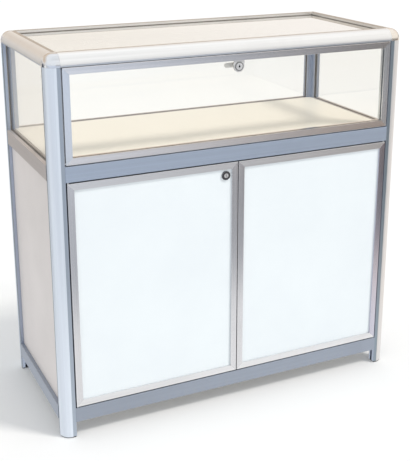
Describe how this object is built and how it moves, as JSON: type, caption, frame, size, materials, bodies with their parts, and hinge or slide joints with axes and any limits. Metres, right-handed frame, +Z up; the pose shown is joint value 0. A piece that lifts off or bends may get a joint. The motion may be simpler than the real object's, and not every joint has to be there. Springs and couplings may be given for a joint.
{
  "type": "display counter",
  "caption": "Free-standing shop display counter with an aluminium frame, a glazed display space behind a lockable drop-down flap, and a cupboard below with hinged doors.",
  "frame": {"origin": "on the floor, under the middle of the counter's footprint", "axes": "+Z up, the doors and the flap face -Y, +X to the right of someone facing the doors"},
  "size_m": [1, 0.45, 1],
  "materials": {
    "post_aluminium": "satin anodised, drawn streaks along the profile",
    "cap_aluminium": "satin anodised",
    "rail_aluminium": "satin anodised, darker than the posts",
    "leaf_aluminium": "satin anodised, fine drawn streaks",
    "foot_plastic": "moulded, slightly rough",
    "connector_steel": "zinc plated",
    "pane_glass": "clear float glass, faint green edges",
    "gasket_rubber": "soft black rubber",
    "side_board": "white melamine facing on particle board",
    "door_board": "smooth white laminate facing",
    "deck_board": "cream white laminate facing, satin",
    "lock_chrome": "polished, slightly dulled by handling",
    "lock_plug_metal": "turned face with key marks"
  },
  "bodies": {
    "frame": {"corner_post_front_left": "post_aluminium", "top_corner_front_left": "cap_aluminium", "corner_post_front_right": "post_aluminium", "top_corner_front_right": "cap_aluminium", "corner_post_rear_right": "post_aluminium", "top_corner_rear_right": "cap_aluminium", "corner_post_rear_left": "post_aluminium", "top_corner_rear_left": "cap_aluminium", "bottom_rail_front": "rail_aluminium", "mid_rail_front": "rail_aluminium", "top_rail_front": "cap_aluminium", "bottom_rail_right": "rail_aluminium", "mid_rail_right": "rail_aluminium", "top_rail_right": "cap_aluminium", "bottom_rail_rear": "rail_aluminium", "mid_rail_rear": "rail_aluminium", "top_rail_rear": "cap_aluminium", "bottom_rail_left": "rail_aluminium", "mid_rail_left": "rail_aluminium", "top_rail_left": "cap_aluminium", "post_feet": "foot_plastic", "rail_connectors": "connector_steel", "right_glass": "pane_glass", "right_glass_gasket": "gasket_rubber", "right_panel": "side_board", "rear_glass": "pane_glass", "rear_glass_gasket": "gasket_rubber", "rear_panel": "side_board", "left_glass": "pane_glass", "left_glass_gasket": "gasket_rubber", "left_panel": "side_board", "top_glass": "pane_glass", "top_glass_gasket": "gasket_rubber", "deck_panel": "deck_board", "base_panel": "deck_board", "door_mullion": "rail_aluminium", "pivot_pins": "connector_steel"},
    "flap": {"flap_bottom_rail": "leaf_aluminium", "flap_top_rail": "leaf_aluminium", "flap_left_stile": "leaf_aluminium", "flap_right_stile": "leaf_aluminium", "flap_glass": "pane_glass", "flap_lock_housing": "lock_chrome", "flap_lock_nut": "connector_steel"},
    "flap_lock": {"flap_lock_plug": "lock_plug_metal", "flap_lock_cam": "connector_steel"},
    "left_door": {"left_door_bottom_rail": "leaf_aluminium", "left_door_top_rail": "leaf_aluminium", "left_door_hinge_stile": "leaf_aluminium", "left_door_lock_stile": "leaf_aluminium", "left_door_panel": "door_board", "door_lock_body": "lock_chrome", "door_lock_nut": "connector_steel"},
    "door_lock": {"door_lock_plug": "lock_plug_metal", "door_lock_cam": "connector_steel"},
    "right_door": {"right_door_bottom_rail": "leaf_aluminium", "right_door_top_rail": "leaf_aluminium", "right_door_meeting_stile": "leaf_aluminium", "right_door_hinge_stile": "leaf_aluminium", "right_door_panel": "door_board"}
  },
  "joints": [
    {"name": "flap_swing", "type": "hinge", "parent": "frame", "child": "flap", "pos_m": [0, -0.22, 0.7366], "axis": [1, 0, 0], "range_deg": [0, 94]},
    {"name": "left_door_swing", "type": "hinge", "parent": "frame", "child": "left_door", "pos_m": [-0.4564, -0.22, 0.3865], "axis": [0, 0, -1], "range_deg": [0, 94]},
    {"name": "right_door_swing", "type": "hinge", "parent": "frame", "child": "right_door", "pos_m": [0.4564, -0.22, 0.3865], "axis": [0, 0, 1], "range_deg": [0, 94]},
    {"name": "flap_lock_turn", "type": "hinge", "parent": "flap", "child": "flap_lock", "pos_m": [0, -0.21, 0.9358], "axis": [0, 1, 0], "range_deg": [0, 90]},
    {"name": "door_lock_turn", "type": "hinge", "parent": "left_door", "child": "door_lock", "pos_m": [-0.035, -0.21, 0.653], "axis": [0, 1, 0], "range_deg": [0, 90]}
  ]
}
